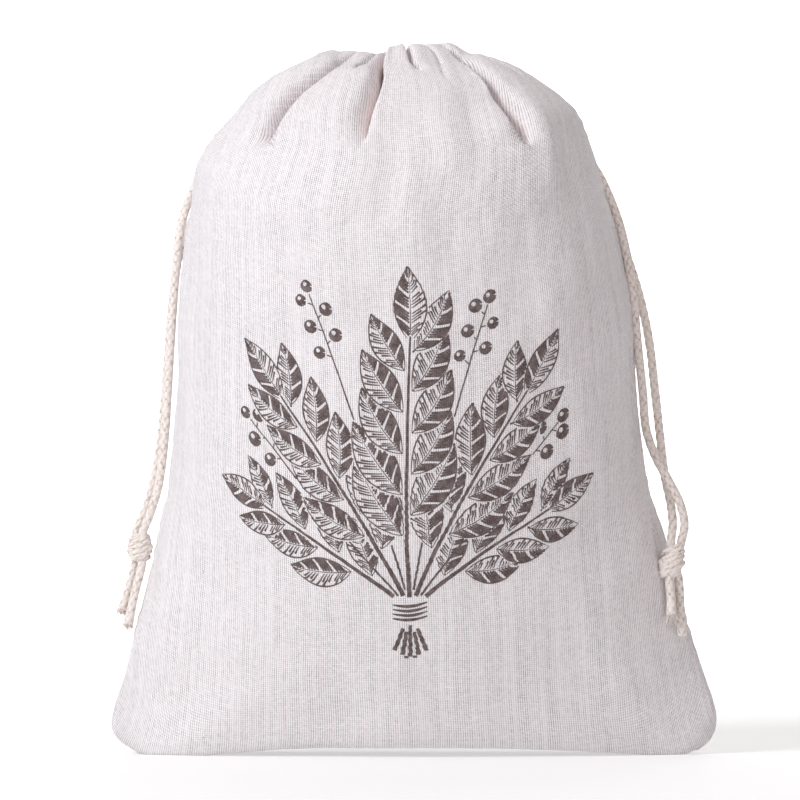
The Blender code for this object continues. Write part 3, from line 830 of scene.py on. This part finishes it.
def make_frayed_end(name, path, material, seed):
    """Loose yarns that stand out of a cut end."""
    fibres, shortest, longest, widest = FRAYS[name]
    draw = np.random.default_rng(seed)
    ahead = unit(path[-1] - path[-5])
    first, second = (directions[-1] for directions in path_frames(path[-6:]))
    way = np.linspace(0, 1, FRAY_STEPS)[:, None]
    yarns = []
    for _ in range(fibres):
        turn = draw.uniform(0, 2 * math.pi)
        reach = CORD_DIAMETER / 2 * math.sqrt(draw.uniform(*FRAY_SECTION))
        side = math.cos(turn) * first + math.sin(turn) * second
        start = path[-1] - ahead * FRAY_DEPTH + side * reach
        length = draw.uniform(shortest, longest)
        spread = draw.uniform(0.05, 1.0) * widest
        bend = draw.normal(0, FRAY_BEND[0], 3)
        wind = draw.uniform(0, 2 * math.pi) + FRAY_WIND * way
        centres = (start + length * (ahead * way + side * spread * way**1.6
                                     + bend * FRAY_BEND[1] * way**2)
                   + FRAY_CURL * way * (np.cos(wind) * first + np.sin(wind) * second))
        radii = np.repeat(FRAY_RADIUS * (1 - FRAY_TAPER * way), FRAY_SIDES, axis=1)
        # The yarns take the plait's painted groove shade, a little more of it towards their tips.
        uv = np.repeat(np.hstack((0.95 - 0.25 * way, way)), FRAY_SIDES, axis=0)
        yarns.append((*tube(centres, radii, first[None], second[None]), uv))
    piece = mesh_piece("frayed_" + name, *joined(yarns), material, "plait")
    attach(piece, "root")
    return piece


def make_cord(name, material, seed):
    """One strand from the casing, through its knot, to its tail's end."""
    route = CORD_ROUTES[name] + TAIL_ROUTES[name]
    path = curve_through(route, CORD_STEP)
    piece = mesh_piece("drawcord_" + name,
                       *plaited_tube(path, CORD_DIAMETER, PLAIT_DEPTH, seed, CORD_END_FLARE),
                       material, "plait")
    if name in FRAYS:
        make_frayed_end(name, path, material, seed)
    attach(piece, "root")
    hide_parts("cord_" + name, "tail_" + name)
    return piece


KNOT_TURNS = 5.4
KNOT_FIRST_TURN = 0.6  # where the first turn starts, in radians
KNOT_WAIST = 0.38  # its girth at its two ends, as a share of its middle's
KNOT_FULLNESS = 2.2  # the power of its outline's curve
KNOT_YARN_DIAMETER = 3.2
KNOT_PLAIT_DEPTH = 0.16
KNOT_BIGHT_RISE = 0.9  # the loop over the turns stands out by this much
KNOT_BIGHT_TOP = 0.02  # its ends' height and how far it dips, as shares of the knot
KNOT_BIGHT_DIP = 0.36
KNOT_BIGHT_ANGLES = (190.0, 350.0)  # where it starts and ends round the knot
KNOT_BIGHT_CLOSING = 0.34  # it comes closer by this share as it dips
KNOT_BIGHT_LEAN = 0.8  # under 1 it dips nearer its start
KNOT_CORE_INSET = 1.9  # the core under the turns lies this far inside the knot's outline
KNOT_CORE_SEGMENTS = 20
KNOT_CORE_SHADE_RELIEF = 0.3  # it gets as much painted groove shade as the plait at this height
KNOT_STEPS = 280
KNOT_BIGHT_STEPS = 60


def make_knot(side, material):
    """An overhand knot: slanting turns of cord pulled tight round the two strands."""
    knot_x, knot_y, knot_z, tilt, knot_length, knot_width, slant = KNOTS[side]
    tilt = math.radians(tilt)

    def placed(x, y, z):
        return np.stack((knot_x + x * math.cos(tilt) + z * math.sin(tilt), knot_y + y,
                         knot_z - x * math.sin(tilt) + z * math.cos(tilt)), axis=-1)

    way = np.linspace(0, 1, KNOT_STEPS)
    girth = np.sqrt(1 - np.abs(2 * way - 1) ** KNOT_FULLNESS)
    widest = (knot_width - KNOT_YARN_DIAMETER) / 2
    radius = widest * (KNOT_WAIST + (1 - KNOT_WAIST) * girth)
    turn = KNOT_FIRST_TURN - 2 * math.pi * KNOT_TURNS * way
    x = radius * np.cos(turn)
    z = (0.5 - way) * (knot_length - KNOT_YARN_DIAMETER) + slant * x * girth
    turns = placed(x, radius * np.sin(turn), z)
    share = np.linspace(0, 1, KNOT_BIGHT_STEPS)
    turn = np.radians(np.linspace(*KNOT_BIGHT_ANGLES, KNOT_BIGHT_STEPS))
    dip = np.sin(math.pi * share**KNOT_BIGHT_LEAN)
    reach = (widest + KNOT_BIGHT_RISE) * (1 - KNOT_BIGHT_CLOSING * dip)
    bight = placed(reach * np.cos(turn), reach * np.sin(turn),
                   knot_length * (KNOT_BIGHT_TOP - KNOT_BIGHT_DIP * dip))
    around, over = np.meshgrid(np.linspace(0, 2 * math.pi, KNOT_CORE_SEGMENTS),
                               np.linspace(0.02, math.pi - 0.02, KNOT_CORE_SEGMENTS))
    radius = (knot_width / 2 - KNOT_CORE_INSET) * np.sin(over) ** 0.7
    x = radius * np.cos(around)
    core = placed(x, radius * np.sin(around),
                  (knot_length / 2 - KNOT_CORE_INSET) * np.cos(over) + slant * x)
    parts = [plaited_tube(line, KNOT_YARN_DIAMETER, KNOT_PLAIT_DEPTH) for line in (turns, bight)]
    parts.append((core.reshape(-1, 3), grid_faces(KNOT_CORE_SEGMENTS, KNOT_CORE_SEGMENTS),
                  np.full((core.size // 3, 2), KNOT_CORE_SHADE_RELIEF)))
    piece = mesh_piece("tied_knot_" + side, *joined(parts), material, "plait")
    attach(piece, "root")
    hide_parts("knot_" + side)
    return piece


# ---- The print: a bunch of leafy sprigs, cut like an engraving, with places on the flat cloth.
PRINT_TIE = (-0.5, 109.0)
TIE_TURNS = 4
TIE_PITCH = 2.3
TIE_FIRST = -3.5  # the lowest turn's place
TIE_FORM = (8.5, 1.4, 1.6, 1.35)  # a turn's half width, sag, slant and thickness
TIE_OUTLINE = ((-9.2, -6.5), (9.2, -6.5), (9.2, 6.2), (-9.2, 6.2))
PRINT_LIFT = 0.12  # above the cloth
PRINT_SEED = 4
# A sprig's heading, bend, length, number of leaves, their length and the first one's side.
SPRIGS = (
    (91, -5, 135, 10, 46, 1),
    (113, 19, 117, 9, 41, -1),
    (68, -18, 119, 9, 41, 1),
    (138, 24, 85, 7, 35, -1),
    (43, -26, 84, 7, 35, 1),
)
# A twig's heading, bend, length and number of berries.
BERRY_TWIGS = (
    (102, 10, 160, 6),
    (79, -10, 155, 6),
    (128, 13, 116, 5),
    (54, -15, 114, 5),
)
LEAF_ANGLE = 41.0  # between a leaf and its sprig
LEAF_SHARE = 0.43  # a leaf's width as a share of its length
LEAF_BEND = 22.0  # how far a leaf curves from its foot to its tip
LEAF_POWERS = (0.92, 0.95)  # where its widest place is, and how full its outline is
LEAF_SHRINK = 0.30  # a leaf at the end of a sprig is smaller by this share
LEAF_SIZES = (0.93, 1.05)  # ranges of the leaves' sizes, of their turns, and of their bends
LEAF_TURNS = (-5, 5)
LEAF_BENDS = (0.6, 1.2)
TIP_LEAF = (0.98, 0.80, 6.0)  # where it starts, its size as a share, and its bend
STROKE_SPACING = 1.45
STROKE_RAKE = 0.15  # a vein stroke runs this share of the leaf forward on its way out
STROKE_REACH = (0.10, 0.97)  # from near the midrib to just inside the margin
STROKE_STEP = 1.3  # between a stroke's points
STROKE_POINTS = 7  # across a leaf, before it is cut
SHORT_STROKE = 0.72  # every second stroke of the lit half reaches this far out
VEIN_EVERY = 5  # the white of a side vein is a stroke left out
DARK_STROKE = (1.0, 1.62)  # width beside the midrib and at the margin, shaded half
PALE_STROKE = (0.40, 1.05)  # the same on the lit half
OUTLINE_WIDTH = 0.75
STEM_WIDTH = (2.3, 0.9)
TWIG_WIDTH = (1.1, 0.6)
STALK_SPREAD = 2.3  # below the tie the stalks fan out by this many times less
PETIOLE = 3.2  # a leaf's foot stands this far from its stem
STEM_CLEARANCE = 0.9  # white left beside a stem that lies over leaves
STALK_LENGTH = 19.0
STALK_LENGTHENING = 0.04  # a longer stem's stalk is longer by this share of the stem
STALK_WIDTH = (1.5, 2.2)
LEAF_STRETCH = (0.26, 0.93)  # where a sprig's leaves start and end, as shares of it
STEM_POINTS = 40
BERRY_STRETCH = (0.80, 1.0)
BERRY_ANGLE = 62.0  # between a berry's stalk and its twig
BERRY_STALK = 6.5
BERRY_TIP_STALK = 2.5
BERRY_RADIUS = 3.3
BERRY_SIZES = (0.85, 1.1)
BERRY_HALO = 1.12
BERRY_SHINE = (0.36, -0.34, 0.34)  # radius and place of the pale spot, as shares
HALO = 1.06  # a leaf in front keeps this much of its outline clear


def on_sheet(sheet, across, along, lift):
    """Points over a sheet, from places on its flat cloth."""
    rows, columns = sheet["points"].shape[:2]
    row = np.interp(along, sheet["levels"], np.arange(rows))
    low_row = np.clip(row.astype(int), 0, rows - 2)
    column = np.zeros(len(across))
    for number in np.unique(low_row):
        here = low_row == number
        column[here] = np.interp(across[here], sheet["across"][number], np.arange(columns))
    low_column = np.clip(column.astype(int), 0, columns - 2)
    up = (row - low_row)[:, None]
    over = (column - low_column)[:, None]
    found = []
    for grid in (sheet["points"], sheet["normals"]):
        lower, upper = (grid[line, low_column] * (1 - over) + grid[line, low_column + 1] * over
                        for line in (low_row, low_row + 1))
        found.append(lower * (1 - up) + upper * up)
    return found[0] + lift * found[1]


def inside_outline(points, outline):
    """Which points lie inside a closed outline."""
    x, y = points[:, 0][:, None], points[:, 1][:, None]
    x0, y0 = outline[:, 0], outline[:, 1]
    x1, y1 = np.roll(x0, -1), np.roll(y0, -1)
    spans = (y0 > y) != (y1 > y)
    crossing = x0 + (y - y0) * (x1 - x0) / np.where(y1 == y0, 1e-9, y1 - y0)
    return (spans & (x < crossing)).sum(axis=1) % 2 == 1


def direction(turn):
    return np.stack((np.cos(turn), np.sin(turn)), axis=-1)


def sideways(points):
    """Unit vectors to the left of a flat line at each of its points."""
    heading = unit(np.gradient(points, axis=0))
    return np.stack((-heading[:, 1], heading[:, 0]), axis=1)


def bent_line(start, heading, bend, length, shares):
    """Points and headings along a line that turns evenly from its first heading."""
    shares = np.asarray(shares, dtype=float)
    fine = np.linspace(0, 1, 60)
    turns = np.radians(heading + bend * fine)
    line = np.cumsum(np.vstack(((0.0, 0.0), direction((turns[1:] + turns[:-1]) / 2))), axis=0)
    points = length / (len(fine) - 1) * points_at(shares, fine, line)
    return start + points, heading + bend * shares


class Engraving:
    """Collects inked strokes, and the outlines that hide all that is drawn later."""

    def __init__(self):
        self.strokes = []
        self.outlines = []

    def stroke(self, points, widths):
        """A stroke along points, cut where something already drawn hides it."""
        points = np.asarray(points, dtype=float)
        places = distances(points)
        count = max(3, int(places[-1] / STROKE_STEP) + 2)
        spots = np.linspace(0, places[-1], count)
        points = points_at(spots, places, points)
        widths = np.interp(spots, places, np.broadcast_to(widths, len(places)))
        shown = np.ones(count, dtype=bool)
        low, high = points.min(axis=0), points.max(axis=0)
        for outline in self.outlines:
            if (outline.min(axis=0) < high).all() and (outline.max(axis=0) > low).all():
                shown &= ~inside_outline(points, outline)
        for run in np.split(np.arange(count), np.flatnonzero(~shown)):
            run = run[shown[run]]
            if len(run) >= 2:
                self.strokes.append((points[run], widths[run]))

    def line_in_front(self, points, widths):
        """A stroke with a little white beside it, in front of all that is drawn later."""
        self.stroke(points, widths)
        side = sideways(points) * (widths[:, None] / 2 + STEM_CLEARANCE)
        self.outlines.append(np.concatenate((points + side, (points - side)[::-1])))


def draw_leaf(art, foot, heading, length, bend, dark_side):
    """A leaf with a pale midrib and pale side veins, one half in shade."""
    half_width = length * LEAF_SHARE / 2

    def spot(share, side):
        """A point at a share of the leaf's length; side is -1 and 1 on its margins."""
        share = np.clip(share, 0.0, 1.0)
        points, headings = bent_line(foot, heading, bend, length, share)
        width = half_width * np.sin(math.pi * share ** LEAF_POWERS[0]) ** LEAF_POWERS[1]
        return points + (side * width)[:, None] * direction(np.radians(headings + 90))

    shares = np.linspace(0, 1, 28)
    for side in (-1, 1):
        margin = spot(shares, side)
        art.stroke(margin, OUTLINE_WIDTH * (0.4 + 0.6 * np.sin(math.pi * shares)))
        widths = DARK_STROKE if side == dark_side else PALE_STROKE
        count = int(length / STROKE_SPACING)
        for number in range(1, count - 2):
            if number % VEIN_EVERY == 0:
                continue
            start = number / count
            reach = 1.0 if side == dark_side or number % 2 else SHORT_STROKE
            outwards = np.linspace(STROKE_REACH[0], STROKE_REACH[1] * reach, STROKE_POINTS)
            art.stroke(spot(start + STROKE_RAKE * outwards, side * outwards),
                       np.linspace(*widths, STROKE_POINTS)
                       * (0.55 + 0.45 * math.sin(math.pi * start)))
    art.stroke(spot(np.linspace(0, 0.9, 12), np.zeros(12)), np.linspace(0.5, 0.2, 12))
    edge = np.concatenate((spot(shares, 1.0), spot(shares[::-1], -1.0)))
    middle = edge.mean(axis=0)
    art.outlines.append(middle + (edge - middle) * HALO)


def draw_berry(art, centre, radius):
    """A round berry in solid ink with a pale spot."""
    ring = direction(np.linspace(0, 2 * math.pi, 25))
    inner = BERRY_SHINE[1:] + BERRY_SHINE[0] * ring
    art.stroke(centre + radius * (ring + inner) / 2,
               radius * np.linalg.norm(ring - inner, axis=1) * 0.97)
    art.outlines.append(centre + radius * BERRY_HALO * ring)


def stem_line(line, widths):
    """A stem's points from the tie to its tip, and its widths there."""
    return (bent_line(PRINT_TIE, *line, np.linspace(0, 1, STEM_POINTS))[0],
            np.linspace(*widths, STEM_POINTS))


def draw_sprig(art, sprig, draw):
    """A stem with leaves on alternate sides, getting smaller, and one at its tip."""
    *line, leaves, leaf_length, first_side = sprig
    art.line_in_front(*stem_line(line, STEM_WIDTH))
    start, size, bend = TIP_LEAF
    tip, tip_heading = bent_line(PRINT_TIE, *line, [start])
    draw_leaf(art, tip[0], tip_heading[0], leaf_length * size, bend, 1)
    shares = np.linspace(*LEAF_STRETCH, leaves)
    spots, headings = bent_line(PRINT_TIE, *line, shares)
    for number in reversed(range(leaves)):
        side = first_side * (-1) ** number
        size = leaf_length * (1 - LEAF_SHRINK * shares[number]) * draw.uniform(*LEAF_SIZES)
        turn = side * (LEAF_ANGLE + draw.uniform(*LEAF_TURNS))
        foot = spots[number] + PETIOLE * direction(math.radians(headings[number] + turn))
        art.stroke([spots[number], foot], 0.9)
        draw_leaf(art, foot, headings[number] + turn, size,
                  -side * LEAF_BEND * draw.uniform(*LEAF_BENDS), -1)


def draw_berry_twig(art, twig, draw):
    """A thin twig with berries on short stalks near its end."""
    *line, count = twig
    spots, headings = bent_line(PRINT_TIE, *line, np.linspace(*BERRY_STRETCH, count))
    for number in range(count):
        side = (-1) ** number if number < count - 1 else 0
        reach = BERRY_STALK if side else BERRY_TIP_STALK
        turn = math.radians(headings[number] + side * BERRY_ANGLE)
        centre = spots[number] + reach * direction(turn)
        draw_berry(art, centre, BERRY_RADIUS * draw.uniform(*BERRY_SIZES))
        art.stroke([spots[number], centre], 0.6)
    art.stroke(*stem_line(line, TWIG_WIDTH))


def draw_tie(art):
    """Cord wound round the stems."""
    x, y = PRINT_TIE
    half_width, sag, slant, thickness = TIE_FORM
    shares = np.linspace(0, 1, 14)
    for number in range(TIE_TURNS):
        across = x + half_width * (2 * shares - 1)
        up = (y + TIE_PITCH * number + TIE_FIRST + slant * (shares - 0.5)
              - sag * np.sin(math.pi * shares))
        art.stroke(np.stack((across, up), axis=1),
                   thickness * np.sin(math.pi * (0.08 + 0.84 * shares)) + 0.2)
    art.outlines.append(PRINT_TIE + np.array(TIE_OUTLINE))


def draw_stalks(art):
    """The stems' cut ends below the tie."""
    for row in SPRIGS + BERRY_TWIGS[:2]:
        heading = 270.0 - (row[0] - 90.0) / STALK_SPREAD
        line, _ = bent_line(PRINT_TIE, heading, 0.0, STALK_LENGTH + STALK_LENGTHENING * row[2],
                            np.linspace(0, 1, 8))
        art.line_in_front(line, np.linspace(*STALK_WIDTH, 8))


def make_print(sheet, material):
    """The inked strokes as one thin layer just over the front sheet."""
    draw = np.random.default_rng(PRINT_SEED)
    art = Engraving()
    draw_tie(art)
    for draw_plant, rows in ((draw_sprig, SPRIGS[:3]), (draw_berry_twig, BERRY_TWIGS),
                             (draw_sprig, SPRIGS[3:])):
        for row in rows:
            draw_plant(art, row, draw)
    draw_stalks(art)
    flat, faces, first = [], [], 0
    for points, widths in art.strokes:
        side = sideways(points) * widths[:, None] / 2
        flat.append(np.stack((points - side, points + side), axis=1).reshape(-1, 2))
        faces += grid_faces(len(points), 2, first)
        first += 2 * len(points)
    flat = np.concatenate(flat)
    points = on_sheet(sheet, flat[:, 0], flat[:, 1], PRINT_LIFT)
    piece = mesh_piece("leaf_print", points, faces, flat * MM, material)
    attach(piece, "root")
    return piece


# ---- Build.
add_camera()
add_lights()
add_floor()
COTTON = cord_material()
knots = {side: make_knot(side, COTTON) for side in KNOTS}
for number, cord_name in enumerate(CORD_ROUTES):
    make_cord(cord_name, COTTON, number + 1)
LINEN = linen_material()
front, FRONT = make_sheet("front_sheet", "front_panel", -1, FRONT_PLEATS, FRONT_SWELLS, LINEN)
back, _ = make_sheet("back_sheet", "back_panel", 1, BACK_PLEATS, BACK_SWELLS, LINEN)
leaf_print = make_print(FRONT, ink_material())
